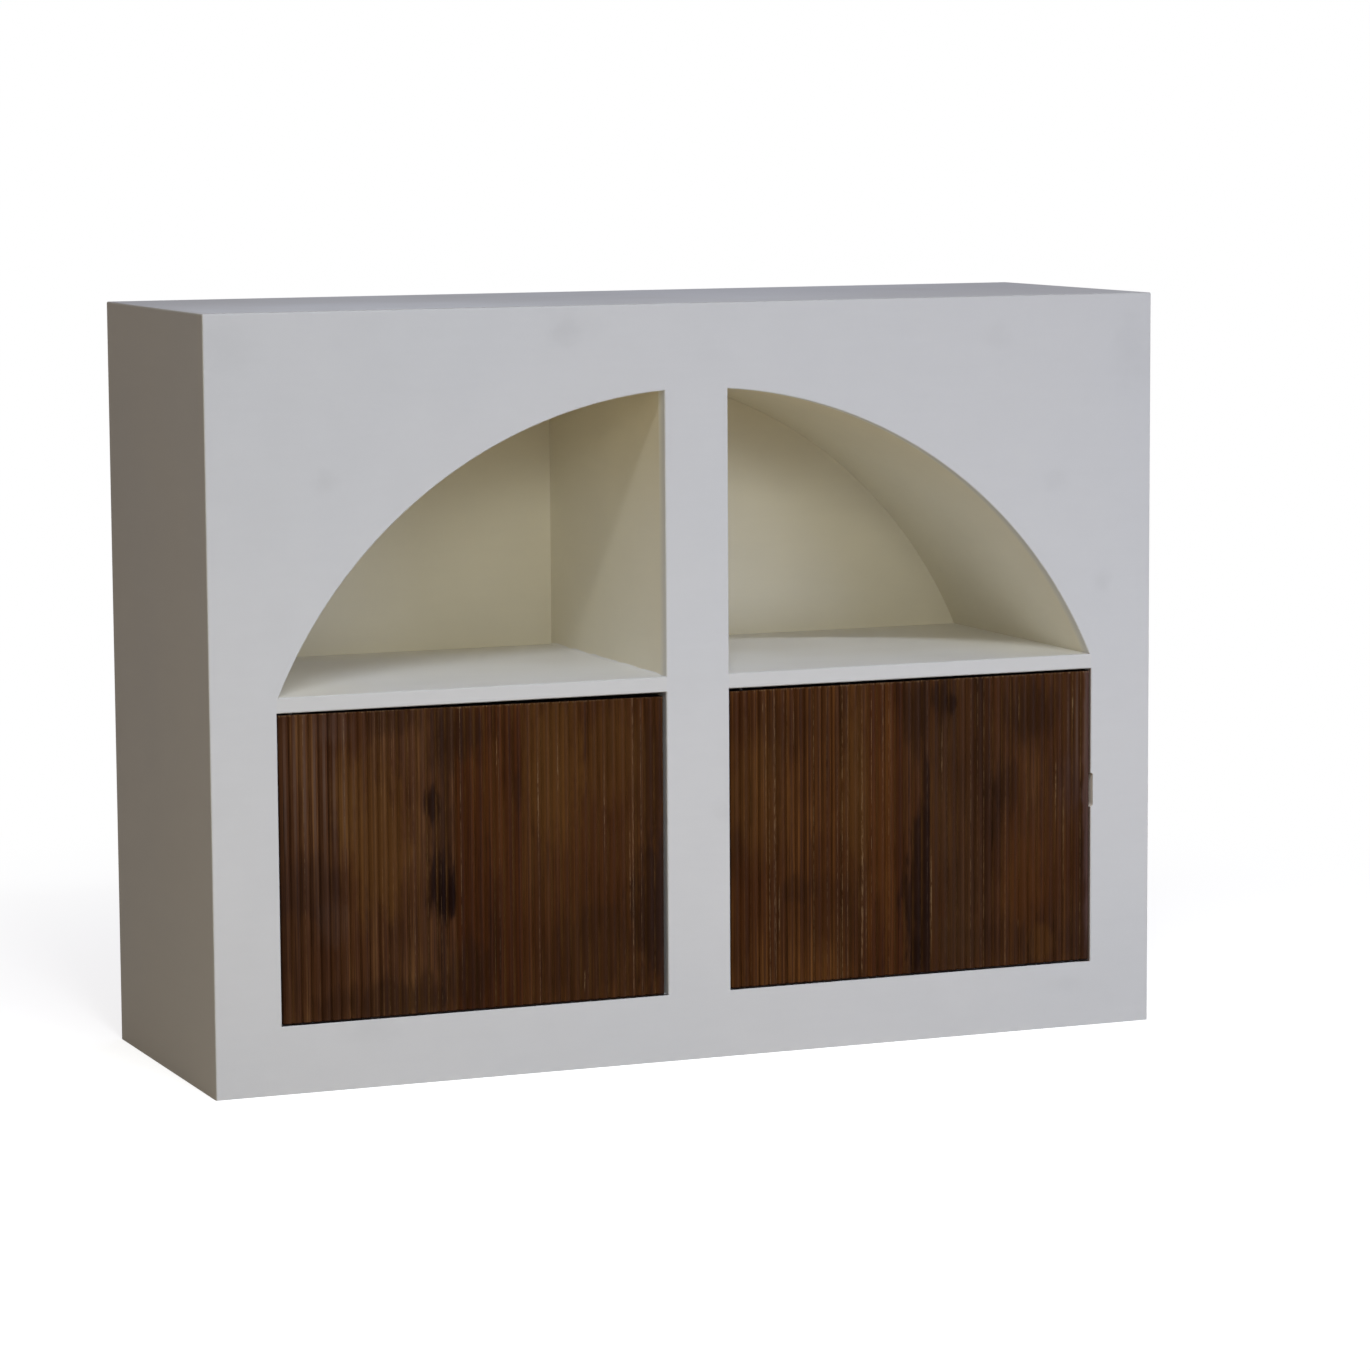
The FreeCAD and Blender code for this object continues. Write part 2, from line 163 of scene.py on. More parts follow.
def between(tree, value, low, high, to_low=0.0, to_high=1.0):
    # a soft step from one value to another
    inputs = {"Value": value, "From Min": low, "From Max": high, "To Min": to_low, "To Max": to_high}
    return add(tree, "ShaderNodeMapRange", inputs, interpolation_type="SMOOTHSTEP").outputs[0]


def widened(tree, wave, to_low=0.0, to_high=1.0):
    # the middle range of a noise, spread over the values asked for
    return between(tree, wave, 0.3, 0.7, to_low, to_high)


def place_of(tree, scale=(1, 1, 1), offset=(0, 0, 0)):
    coords = add(tree, "ShaderNodeTexCoord").outputs["Object"]
    inputs = {"Vector": coords, "Location": offset, "Scale": scale}
    return add(tree, "ShaderNodeMapping", inputs).outputs["Vector"]


def axis_of(tree, axis):
    coords = add(tree, "ShaderNodeTexCoord").outputs["Object"]
    return add(tree, "ShaderNodeSeparateXYZ", {0: coords}).outputs[axis]


def ramp(tree, axis, low, high, to_low=0.0, to_high=1.0):
    # the same soft step, along one axis of the object
    return between(tree, axis_of(tree, axis), low, high, to_low, to_high)


def facing_up(tree):
    # 1 on level faces that look up
    normal = add(tree, "ShaderNodeNewGeometry").outputs["Normal"]
    rise = add(tree, "ShaderNodeSeparateXYZ", {0: normal}).outputs["Z"]
    return between(tree, rise, 0.8, 0.95)


def noise(tree, scale, offset=(0, 0, 0), detail=3.0, roughness=0.5, distortion=0.0):
    # one number as scale is the same scale along all three axes
    scale = scale if isinstance(scale, tuple) else (scale, scale, scale)
    inputs = {"Vector": place_of(tree, scale, offset), "Scale": 1.0, "Detail": detail,
              "Roughness": roughness, "Distortion": distortion}
    return add(tree, "ShaderNodeTexNoise", inputs).outputs["Fac"]


def spot(tree, centre, reach, softness=0.6, wave=None, ragged=0.0):
    # 1 in the middle of an upright ellipse in X and Z, 0 outside it; wave is a noise that frays its edge
    scale = (1 / reach[0], 0, 1 / reach[1])
    offset = (-centre[0] / reach[0], 0, -centre[1] / reach[1])
    length = add(tree, "ShaderNodeVectorMath", {0: place_of(tree, scale, offset)}, operation="LENGTH")
    length = length.outputs["Value"]
    if wave is not None:
        length = ripple(tree, wave, ragged, length)
    return between(tree, length, 1.0, 1.0 - softness)


def bump(tree, height, distance, normal=None):
    inputs = {"Height": height, "Distance": distance, "Strength": 1.0}
    if normal is not None:
        inputs["Normal"] = normal
    return add(tree, "ShaderNodeBump", inputs).outputs["Normal"]


def new_material(name):
    material = bpy.data.materials.new(name)
    material.use_nodes = True
    tree = material.node_tree
    return material, tree, tree.nodes["Principled BSDF"]


# Paint: satin, brushed, with faint smudges

satin = 0.52
gloss_change = 0.12
patch_scale = 3.1
mottle_scale = 17
smudge_wave_scale = 60
peel_scale = 420
brush_shade = 0.03
brush_relief = 0.10 * mm
peel_relief = 0.03 * mm
smudge_softness = 0.9
smudge_fray = 0.9
stiff_grain = (14, 14, 90)
niche_grain = (12, 12, 90)
lining_grain = (12, 90, 90)
shelf_grain = (10, 120, 10)
panel_grain = (60, 7, 60)


def paint(name, colour, cool, brush_scale, smudges=(), mottle=0.05, roughness=satin):
    material, tree, shader = new_material(name)
    broad = noise(tree, patch_scale, (7, 1, 4), detail=2)
    fine = noise(tree, mottle_scale, (2, 8, 5))
    brush = noise(tree, brush_scale, (1, 2, 3), roughness=0.6)
    tint = blend(tree, widened(tree, broad), colour, cool)
    shade = ripple(tree, fine, mottle, 1.0)
    shade = ripple(tree, brush, brush_shade, shade)
    wave = noise(tree, smudge_wave_scale, detail=4) if smudges else None
    for centre, reach, depth in smudges:
        dark = spot(tree, centre, reach, smudge_softness, wave, smudge_fray)
        shade = calc(tree, "MULTIPLY_ADD", dark, -depth, shade)
    grey = add(tree, "ShaderNodeCombineColor", {"Red": shade, "Green": shade, "Blue": shade})
    base = blend(tree, 1.0, tint, grey.outputs[0], "MULTIPLY")
    normal = bump(tree, brush, brush_relief)
    normal = bump(tree, noise(tree, peel_scale, detail=2), peel_relief, normal)
    rough = calc(tree, "MULTIPLY_ADD", fine, gloss_change, roughness - gloss_change / 2)
    join(tree, shader, {"Base Color": base, "Roughness": rough, "Normal": normal})
    return material, tree, shader


def base_of(shader):
    return shader.inputs["Base Color"].links[0].from_socket


def repaint(tree, shader, colour):
    tree.links.new(colour, shader.inputs["Base Color"])


face_y = cad_box[0].y
case_top = cad_box[1].z
case_side = cad_box[1].x
rail_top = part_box("front_bottom_rail")[1].z
niche_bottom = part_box("shelf_left")[1].z
nose_white = (0.612, 0.612, 0.62)
face_white = (0.648, 0.648, 0.664)
face_white_cool = (0.632, 0.637, 0.658)
# painted shade that makes the face darker towards the top
face_top_painted_shade = (0.860, 0.866, 0.889)
face_fade_start = 0.1
# painted shade, brown like the door, in the gap beside the right door
edge_painted_shade = (0.30, 0.22, 0.19)
# painted shade on the rail top under the doors
rail_painted_shade = (0.015, 0.012, 0.010)
warm_white = (0.478, 0.446, 0.394)
# the sides have the face's white paint made darker and warmer: painted shade
side_shaded_white = (0.536, 0.511, 0.472)
side_shaded_white_cool = (0.520, 0.502, 0.475)
# the top and the shelves have the face's white paint made paler and bluer: painted light
top_lit_white = (0.740, 0.735, 0.745)
shelf_lit_white = (0.83, 0.84, 0.875)
cream = (0.825, 0.785, 0.655)
cream_deep = (0.805, 0.76, 0.625)
# painted shade at the top of the niches
niche_top_painted_shade = (0.90, 0.85, 0.74)
# bare wood of the scoop, made paler as painted light
scoop_lit_dark = (0.90, 0.80, 0.71)
scoop_lit_pale = (0.97, 0.89, 0.82)
scoop_middle_z = 0.293
scoop_half_height = 21 * mm
niche_edge_depth = 24 * mm
niche_edge_least = 0.25
edge_shade_full_depth = 4 * mm
edge_shade_depth = 7 * mm
rail_shade_full_depth = 5 * mm
rail_shade_depth = 10 * mm
face_smudges = [
    ((-0.166, 0.868), (0.030, 0.024), 0.05),
    ((-0.150, 0.880), (0.060, 0.030), 0.03),
    ((-0.458, 0.706), (0.022, 0.020), 0.05),
    ((-0.570, 0.862), (0.060, 0.050), 0.03),
    ((0.392, 0.852), (0.030, 0.024), 0.03),
    ((0.575, 0.830), (0.040, 0.070), 0.035),
    ((0.470, 0.676), (0.026, 0.024), 0.035),
    ((0.534, 0.550), (0.020, 0.018), 0.05),
    ((-0.410, 0.068), (0.045, 0.022), 0.03),
    ((0.486, 0.054), (0.032, 0.016), 0.03),
    ((0.030, 0.296), (0.024, 0.020), 0.03),
]


def behind_face(tree, start, end):
    # a soft step with the depth behind the face
    return ramp(tree, "Y", face_y + start, face_y + end)


def above_shelf(tree):
    return ramp(tree, "Z", niche_bottom, niche_bottom + 1 * mm)


def aside(tree):
    # distance from the middle of the case
    return calc(tree, "ABSOLUTE", axis_of(tree, "X"))


def creamy_niche_edges(tree, painted):
    # inside the niches the edges of the boards take the colour of the niche
    inside = behind_face(tree, 1 * mm, niche_edge_depth)
    inside = calc(tree, "MULTIPLY_ADD", inside, 1 - niche_edge_least, niche_edge_least)
    share = times(tree, above_shelf(tree), inside, behind_face(tree, 0, 1 * mm))
    return blend(tree, share, painted, cream)


def shaded_edge(tree, painted, edge_x):
    # painted shade and a painted reflection of the brown door run along the front of the edge that the
    # right door closes against
    on_edge = times(tree, ramp(tree, "X", edge_x - 20 * mm, edge_x - 10 * mm),
                    ramp(tree, "X", edge_x + 0.4 * mm, edge_x + 0.1 * mm))
    in_front = times(tree, behind_face(tree, 0, 1 * mm), behind_face(tree, edge_shade_depth, edge_shade_full_depth))
    below_shelf = calc(tree, "SUBTRACT", 1.0, above_shelf(tree))
    from_scoop = calc(tree, "ABSOLUTE", calc(tree, "ADD", axis_of(tree, "Z"), -scoop_middle_z))
    clear_of_scoop = between(tree, from_scoop, scoop_half_height, scoop_half_height + 1 * mm)
    share = times(tree, on_edge, below_shelf, in_front, clear_of_scoop)
    return blend(tree, share, painted, edge_painted_shade)


def outer_edges(tree, painted):
    # the outer edges have the colour of the sides, with their painted shade
    outermost = between(tree, aside(tree), case_side - 1 * mm, case_side - 0.5 * mm)
    return blend(tree, times(tree, behind_face(tree, 0, 1 * mm), outermost), painted, side_shaded_white)


def painted_top(tree, painted):
    # the upper edges of the boards have the colour of the top, with its painted light
    high = ramp(tree, "Z", case_top - 4 * mm, case_top - 2 * mm)
    return blend(tree, times(tree, facing_up(tree), high), painted, top_lit_white)


def shaded_rail_top(tree, painted):
    # painted shade: the top of the rail is dark just behind the face, under the doors
    on_rail = ramp(tree, "Z", rail_top + 3 * mm, rail_top + 1 * mm)
    share = times(tree, facing_up(tree), on_rail, behind_face(tree, 0, 0.5 * mm),
                  behind_face(tree, rail_shade_depth, rail_shade_full_depth))
    return blend(tree, share, painted, rail_painted_shade)


def chipped_scoop(tree, painted, edge_x):
    # bare wood in the finger scoop, where the paint is gone, made far paler than bare wood as painted
    # light in the scoop
    grain = noise(tree, (200, 60, 900), detail=4)
    bare = blend(tree, grain, scoop_lit_dark, scoop_lit_pale)
    place = (edge_x + 1.7 * mm, scoop_middle_z)
    in_scoop = spot(tree, place, (4 * mm, scoop_half_height + 1.2 * mm), 0.05)
    return blend(tree, times(tree, in_scoop, behind_face(tree, 0.4 * mm, 1.5 * mm)), painted, bare)


def front_paint():
    material, tree, shader = paint("front_paint", face_white, face_white_cool, stiff_grain, face_smudges)
    edge_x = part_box("front_stile_right")[0].x
    # painted shade: the face grows darker towards the top
    high = ramp(tree, "Z", face_fade_start, case_top)
    painted = blend(tree, high, base_of(shader), face_top_painted_shade, "MULTIPLY")
    painted = creamy_niche_edges(tree, painted)
    painted = shaded_edge(tree, painted, edge_x)
    painted = outer_edges(tree, painted)
    painted = painted_top(tree, painted)
    painted = shaded_rail_top(tree, painted)
    repaint(tree, shader, chipped_scoop(tree, painted, edge_x))
    return material


def case_paint():
    # the sides' darker, warmer white is painted shade
    material, tree, shader = paint("case_paint", side_shaded_white, side_shaded_white_cool, panel_grain)
    repaint(tree, shader, painted_top(tree, base_of(shader)))
    return material


def top_paint():
    # painted light: the top is paler and bluer than the face
    return paint("top_paint", top_lit_white, shelf_lit_white, panel_grain)[0]


# painted shade on the shelves near the curved ends and the back
shelf_shade_start = 0.36
shelf_shade_end = 0.48
shelf_painted_shade_at_ends = 0.35
shelf_painted_shade_at_back = 0.30


def shelf_paint():
    # painted light: the shelves are paler and bluer than the face
    material, tree, shader = paint("shelf_paint", shelf_lit_white, top_lit_white, shelf_grain, mottle=0.04)
    # painted shade, tinted cream, near the curved ends and the back
    near_end = between(tree, aside(tree), shelf_shade_start, shelf_shade_end, 0.0, shelf_painted_shade_at_ends)
    near_back = ramp(tree, "Y", -face_y - 0.10, -face_y - 0.02, 0.0, shelf_painted_shade_at_back)
    painted = blend(tree, calc(tree, "MAXIMUM", near_end, near_back), base_of(shader), cream)
    # the nose has the colour of the face
    nose = behind_face(tree, 1.5 * mm, 0.5 * mm)
    repaint(tree, shader, blend(tree, nose, painted, nose_white))
    return material


niche_fade_start = 0.62
niche_fade_end = 0.80
board_dark = (0.36, 0.26, 0.16)
board_pale = (0.50, 0.38, 0.25)


def niche_paint():
    inside = {"mottle": 0.06, "roughness": 0.62}
    material, tree, shader = paint("niche_paint", cream, cream_deep, niche_grain, **inside)
    # painted shade: the niches grow darker and yellower towards the top
    high = ramp(tree, "Z", niche_fade_start, niche_fade_end)
    painted = blend(tree, high, base_of(shader), niche_top_painted_shade, "MULTIPLY")
    # the rear face of the back panel is left bare
    fibres = noise(tree, 130, (3, 9, 1), detail=5, roughness=0.7)
    board = blend(tree, widened(tree, fibres), board_dark, board_pale)
    rear_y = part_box("back_panel")[1].y
    rear = ramp(tree, "Y", rear_y - 2 * mm, rear_y - 1 * mm)
    repaint(tree, shader, blend(tree, rear, painted, board))
    return material


def cupboard_paint():
    return paint("cupboard_paint", warm_white, cream, lining_grain, mottle=0.07, roughness=0.65)[0]


# Bare boards

raw_dark = (0.34, 0.23, 0.13)
raw_pale = (0.62, 0.48, 0.31)
raw_grain_share = 0.65


def raw_board():
    material, tree, shader = new_material("raw_board")
    grain = noise(tree, (9, 120, 160), detail=6, roughness=0.65, distortion=0.6)
    broad = noise(tree, (2, 14, 18), (4, 4, 4), detail=2)
    mixed = calc(tree, "MULTIPLY_ADD", grain, raw_grain_share, times(tree, broad, 1 - raw_grain_share))
    base = blend(tree, widened(tree, mixed), raw_dark, raw_pale)
    rough = between(tree, grain, 0.2, 0.8, 0.7, 0.85)
    normal = bump(tree, grain, 0.15 * mm)
    join(tree, shader, {"Base Color": base, "Roughness": rough, "Normal": normal})
    return material


# Doors: dark stained wood, each plank with its own grain

reeds_per_door = 40
reed_depth = 3 * mm
streak_share, band_share, cloud_share, reed_share = 0.52, 0.26, 0.22, 0.05
red_patch_share = 0.4
pore_share = 0.6
pore_tone = 0.45
mark_softness = 0.60
mark_fray = 1.4
crest_line_share = 0.42
sheen_share = 0.5
sheen_softness = 0.95
sheen_fray = 0.6
scratch_share = 0.34
line_softness = 0.8
line_half_width = 1.0 * mm
worn_tip_share = 0.5
foot_share = 0.85
door_gloss = 0.06


def door_span(name):
    boxes = [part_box(node) for node in nodes if node.startswith(f"{name}_plank_")]
    return min(low.x for low, high in boxes), max(high.x for low, high in boxes)


def reed_count(tree, door):
    # the number of reeds, with its fraction, from the left edge of the door
    x0, x1 = door_span(door)
    return times(tree, calc(tree, "SUBTRACT", axis_of(tree, "X"), x0), reeds_per_door / (x1 - x0))


def reed_tone(tree, door):
    # one value for each reed, the same all along it
    index = calc(tree, "FLOOR", reed_count(tree, door))
    return add(tree, "ShaderNodeTexWhiteNoise", {"W": index}, noise_dimensions="1D").outputs["Value"]


def below_crests(tree):
    return calc(tree, "ADD", axis_of(tree, "Y"), -door_face_y)


def with_reeds(tree, base, door, dark, bands, cloud, wave):
    # painted shade darkens the valleys towards the left edge, and painted light makes them paler
    # elsewhere
    x0 = door_span(door)[0]
    depth = below_crests(tree)
    valley = times(tree, between(tree, depth, 0.25 * reed_depth, reed_depth),
                   between(tree, depth, 1.6 * reed_depth, 1.2 * reed_depth))
    valley_shading = ramp(tree, "X", x0, x0 + valley_reach, valley_painted_shade[door], 0.0)
    valley_lift = ramp(tree, "X", x0, x0 + valley_reach, 0.0, valley_painted_light[door])
    valley_lift = times(tree, valley_lift, between(tree, cloud, 0.38, 0.62, 0.25, 1.0))
    base = blend(tree, times(tree, valley, valley_lift), base, valley_light_tone)
    base = blend(tree, times(tree, valley, valley_shading), base, valley_shade)
    # a thin dark line on each crest, and a painted grey sheen, a painted highlight, on some crests
    from_middle = calc(tree, "SUBTRACT", calc(tree, "FRACT", reed_count(tree, door)), 0.5)
    from_middle = calc(tree, "ABSOLUTE", from_middle)
    crest_line = times(tree, between(tree, from_middle, 0.16, 0.04), between(tree, bands, 0.4, 0.6))
    base = blend(tree, times(tree, crest_line, crest_line_share), base, dark)
    crest = between(tree, from_middle, 0.20, 0.06)
    haze = spot(tree, *sheen_places[door], sheen_softness, wave, sheen_fray)
    return blend(tree, times(tree, crest, haze, sheen_share), base, painted_sheen)


def with_scratches(tree, base, offset, dashes, lines):
    # pale scratches in short dashes, on a few lines of the grain
    broken = between(tree, dashes, 0.40, 0.62)
    tracks = noise(tree, (640, 60, 0.7), offset, detail=1)
    scratch = times(tree, between(tree, tracks, 0.64, 0.74), broken)
    base = blend(tree, times(tree, scratch, scratch_share), base, pale)
    for centre, half_length, share in lines:
        line = spot(tree, centre, (line_half_width, half_length), line_softness)
        base = blend(tree, times(tree, line, broken, share), base, pale)
    return base


def with_ends(tree, base, top, dashes):
    # pale rubbed tips, painted shade on the top faces behind them, and a painted shadow line along the
    # foot of the door
    tips = times(tree, ramp(tree, "Z", top - 2.5 * mm, top - 1 * mm),
                 between(tree, dashes, 0.5, 0.6, 0.0, worn_tip_share))
    base = blend(tree, tips, base, pale)
    lid = times(tree, facing_up(tree), between(tree, below_crests(tree), 0.2 * mm, 0.8 * mm))
    base = blend(tree, lid, base, end_shade)
    foot = ramp(tree, "Z", rail_top + 3.6 * mm, rail_top + 2.6 * mm, 0.0, foot_share)
    return blend(tree, foot, base, end_shade)


def plank_wood(node, door, seed, tones, marks, lines):
    material, tree, shader = new_material(f"wood_{node}")
    dark, middle, light = tones
    offset = (seed * 3.7, seed * 1.3, seed * 5.1)
    streaks = noise(tree, (430, 60, 2.2), offset, detail=5, roughness=0.68)
    bands = noise(tree, (95, 40, 1.4), offset)
    cloud = noise(tree, (15, 15, 8), offset, roughness=0.55)
    grain = calc(tree, "MULTIPLY_ADD", streaks, streak_share, times(tree, bands, band_share))
    grain = calc(tree, "MULTIPLY_ADD", cloud, cloud_share, grain)
    grain = ripple(tree, reed_tone(tree, door), reed_share, grain)
    base = blend(tree, between(tree, grain, 0.38, 0.51), dark, middle)
    base = blend(tree, between(tree, grain, 0.50, 0.63), base, light)
    patches = noise(tree, (26, 26, 5), offset, detail=2)
    base = blend(tree, between(tree, patches, 0.45, 0.62, 0.0, red_patch_share), base, red_middle)
    # thin dark pores along the grain
    pores = noise(tree, (1100, 200, 9), offset, detail=2)
    pore_dark = tuple(part * pore_tone for part in dark)
    base = blend(tree, between(tree, pores, 0.56, 0.70, 0.0, pore_share), base, pore_dark)
    wave = noise(tree, (110, 60, 24), offset, detail=5, roughness=0.6)
    for tone, centre, reach, share in marks:
        inner = spot(tree, centre, reach, mark_softness, wave, mark_fray)
        base = blend(tree, times(tree, inner, share), base, tone)
    base = with_reeds(tree, base, door, dark, bands, cloud, wave)
    dashes = noise(tree, (900, 200, 95), offset, detail=4, roughness=0.7)
    base = with_scratches(tree, base, offset, dashes, lines)
    base = with_ends(tree, base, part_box(node)[1].z, dashes)
    rough = widened(tree, grain, 0.46, 0.38)
    normal = bump(tree, streaks, 0.2 * mm)
    join(tree, shader, {"Base Color": base, "Roughness": rough, "Normal": normal,
                        "Specular IOR Level": door_gloss})
    return material


door_face_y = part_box("door_left_plank_1")[0].y
# reach, painted shade and painted light of the reed valleys
valley_reach = 0.20
valley_painted_shade = {"door_left": 0.34, "door_right": 0.06}
valley_painted_light = {"door_left": 0.85, "door_right": 0.62}
valley_light_tone = (0.108, 0.050, 0.017)
valley_shade = (0.012, 0.0045, 0.002)
end_shade = (0.010, 0.005, 0.003)
sheen_places = {
    "door_left": ((-0.480, 0.360), (0.080, 0.140)),
    "door_right": ((0.512, 0.370), (0.040, 0.110)),
}
# painted highlight on the crests
painted_sheen = (0.128, 0.078, 0.058)
pale = (0.33, 0.21, 0.115)
# dark, middle and light tone of each kind of plank
golden = ((0.026, 0.0092, 0.0038), (0.070, 0.0270, 0.0104), (0.150, 0.069, 0.0250))
olive = ((0.024, 0.0078, 0.0024), (0.0645, 0.0222, 0.0058), (0.147, 0.058, 0.0145))
even_olive = ((0.034, 0.0114, 0.0036), (0.0610, 0.0212, 0.0057), (0.112, 0.0440, 0.0115))
red_middle = (0.055, 0.0160, 0.0038)
reddish = ((0.022, 0.0062, 0.0019), red_middle, (0.108, 0.037, 0.0084))
brown = ((0.022, 0.0077, 0.0032), (0.058, 0.0212, 0.0075), (0.119, 0.0485, 0.0158))
# tones of the marks
stain = (0.0135, 0.0040, 0.0018)
dark_cloud = (0.0200, 0.0070, 0.0028)
purple_cloud = (0.0240, 0.0105, 0.0075)
grey_brown = (0.0400, 0.0200, 0.0085)
knot = (0.0075, 0.0012, 0.0003)
bright = (0.150, 0.066, 0.014)
orange = (0.130, 0.045, 0.008)
# painted highlight at the right edge of the right door
edge_painted_sheen = (0.105, 0.058, 0.052)
# marks: tone, middle in X and Z, reach in X and Z, share
left_marks = [
    (purple_cloud, (-0.484, 0.238), (0.064, 0.050), 0.42),
    (dark_cloud, (-0.500, 0.150), (0.060, 0.090), 0.12),
    (dark_cloud, (-0.385, 0.102), (0.074, 0.034), 0.55),
    (dark_cloud, (-0.455, 0.098), (0.030, 0.026), 0.35),
    (dark_cloud, (-0.380, 0.432), (0.050, 0.034), 0.45),
    (dark_cloud, (-0.345, 0.104), (0.034, 0.040), 0.45),
    (dark_cloud, (-0.312, 0.400), (0.036, 0.070), 0.65),
    (bright, (-0.400, 0.290), (0.050, 0.130), 0.35),
    (bright, (-0.440, 0.350), (0.020, 0.070), 0.30),
    (stain, (-0.3348, 0.3257), (0.013, 0.030), 0.95),
    (dark_cloud, (-0.322, 0.280), (0.024, 0.090), 0.50),
    (stain, (-0.322, 0.233), (0.028, 0.058), 0.92),
    (knot, (-0.316, 0.220), (0.021, 0.044), 0.95),
    (dark_cloud, (-0.300, 0.118), (0.030, 0.060), 0.60),
    # painted highlights on the crests
    (painted_sheen, (-0.453, 0.422), (0.030, 0.030), 0.15),
    (painted_sheen, (-0.453, 0.196), (0.026, 0.036), 0.12),
]
left_middle_marks = [
    (dark_cloud, (-0.2275, 0.337), (0.009, 0.036), 0.40),
    (dark_cloud, (-0.292, 0.410), (0.036, 0.046), 0.65),
    (dark_cloud, (-0.290, 0.120), (0.030, 0.065), 0.65),
    (orange, (-0.255, 0.330), (0.016, 0.120), 0.22),
]
left_edge_marks = [
    (bright, (-0.185, 0.360), (0.050, 0.120), 0.30),
    (bright, (-0.110, 0.370), (0.050, 0.080), 0.20),
    (dark_cloud, (-0.062, 0.180), (0.036, 0.110), 0.85),
    (dark_cloud, (-0.130, 0.140), (0.090, 0.080), 0.42),
    (purple_cloud, (-0.048, 0.200), (0.016, 0.150), 0.70),
    (dark_cloud, (-0.060, 0.340), (0.024, 0.110), 0.50),
]
# pale lines along the grain: middle in X and Z, half length, share
left_edge_lines = [
    ((-0.088, 0.240), 0.090, 0.40),
    ((-0.1465, 0.105), 0.020, 0.60),
    ((-0.120, 0.310), 0.085, 0.40),
    ((-0.178, 0.365), 0.045, 0.50),
    ((-0.203, 0.315), 0.090, 0.50),
]
left_middle_lines = [
    ((-0.254, 0.380), 0.030, 0.50),
]
right_first_marks = [
    (dark_cloud, (0.095, 0.386), (0.060, 0.060), 0.26),
    (bright, (0.075, 0.310), (0.050, 0.110), 0.18),
    (dark_cloud, (0.1650, 0.166), (0.085, 0.065), 0.22),
    (dark_cloud, (0.128, 0.195), (0.030, 0.024), 0.30),
    (dark_cloud, (0.050, 0.240), (0.014, 0.060), 0.45),
    (red_middle, (0.058, 0.190), (0.024, 0.080), 0.45),
    (bright, (0.205, 0.310), (0.030, 0.140), 0.26),
    (orange, (0.160, 0.092), (0.080, 0.016), 0.12),
]
right_marks = [
    (dark_cloud, (0.282, 0.392), (0.024, 0.060), 0.55),
    (orange, (0.240, 0.250), (0.022, 0.160), 0.28),
    (dark_cloud, (0.263, 0.270), (0.016, 0.120), 0.22),
    (stain, (0.2950, 0.243), (0.024, 0.062), 0.88),
    (stain, (0.2900, 0.180), (0.036, 0.064), 0.90),
    (stain, (0.2920, 0.118), (0.030, 0.070), 0.88),
    (knot, (0.2830, 0.106), (0.016, 0.036), 0.60),
    (stain, (0.2990, 0.300), (0.008, 0.070), 0.70),
]
right_edge_marks = [
    (grey_brown, (0.340, 0.270), (0.050, 0.300), 0.30),
    (dark_cloud, (0.3175, 0.416), (0.020, 0.034), 0.85),
    (stain, (0.3320, 0.412), (0.012, 0.014), 0.80),
    (grey_brown, (0.335, 0.125), (0.045, 0.060), 0.15),
    (dark_cloud, (0.376, 0.350), (0.020, 0.090), 0.48),
    (dark_cloud, (0.387, 0.235), (0.014, 0.100), 0.50),
    (knot, (0.3872, 0.245), (0.0022, 0.030), 0.90),
    (dark_cloud, (0.408, 0.307), (0.026, 0.045), 0.52),
    (dark_cloud, (0.4380, 0.395), (0.050, 0.054), 0.60),
    (red_middle, (0.440, 0.200), (0.070, 0.090), 0.45),
    (orange, (0.430, 0.180), (0.040, 0.080), 0.20),
    (purple_cloud, (0.500, 0.112), (0.028, 0.042), 0.35),
    (purple_cloud, (0.514, 0.190), (0.012, 0.110), 0.45),
    # painted highlights near the right edge
    (edge_painted_sheen, (0.5165, 0.300), (0.008, 0.260), 0.70),
    (edge_painted_sheen, (0.492, 0.305), (0.022, 0.060), 0.14),
    (bright, (0.453, 0.105), (0.024, 0.036), 0.20),
    (dark_cloud, (0.414, 0.380), (0.022, 0.055), 0.25),
]
right_first_lines = [
    ((0.2134, 0.220), 0.130, 0.42),
    ((0.2080, 0.330), 0.090, 0.32),
    ((0.2180, 0.160), 0.090, 0.35),
    ((0.1235, 0.400), 0.040, 0.40),
    ((0.1040, 0.160), 0.060, 0.45),
    ((0.0830, 0.420), 0.020, 0.40),
]
right_lines = [
    ((0.3052, 0.170), 0.090, 0.60),
    ((0.3190, 0.340), 0.070, 0.35),
    ((0.4230, 0.405), 0.030, 0.90),
    ((0.4225, 0.130), 0.012, 0.90),
    ((0.4350, 0.280), 0.050, 0.30),
    ((0.4730, 0.300), 0.060, 0.45),
    ((0.4960, 0.400), 0.040, 0.45),
    ((0.4840, 0.250), 0.120, 0.30),
]


def door_woods():
    planks = {
        "door_left_plank_1": (1.0, golden, left_marks, []),
        "door_left_plank_2": (2.0, reddish, left_middle_marks, left_middle_lines),
        "door_left_plank_3": (3.0, even_olive, left_edge_marks, left_edge_lines),
        "door_right_plank_1": (4.0, olive, right_first_marks, right_first_lines),
        "door_right_plank_2": (5.0, reddish, right_marks, []),
        "door_right_plank_3": (6.0, brown, right_marks, []),
        "door_right_plank_4": (7.0, brown, right_edge_marks, right_lines),
    }
    for node, (seed, tones, marks, lines) in planks.items():
        door = node.rsplit("_plank_", 1)[0]
        material = plank_wood(node, door, seed, tones, marks, lines)
        nodes[node].material_slots[0].material = material


batten_dark = (0.030, 0.014, 0.007)
batten_pale = (0.085, 0.042, 0.018)


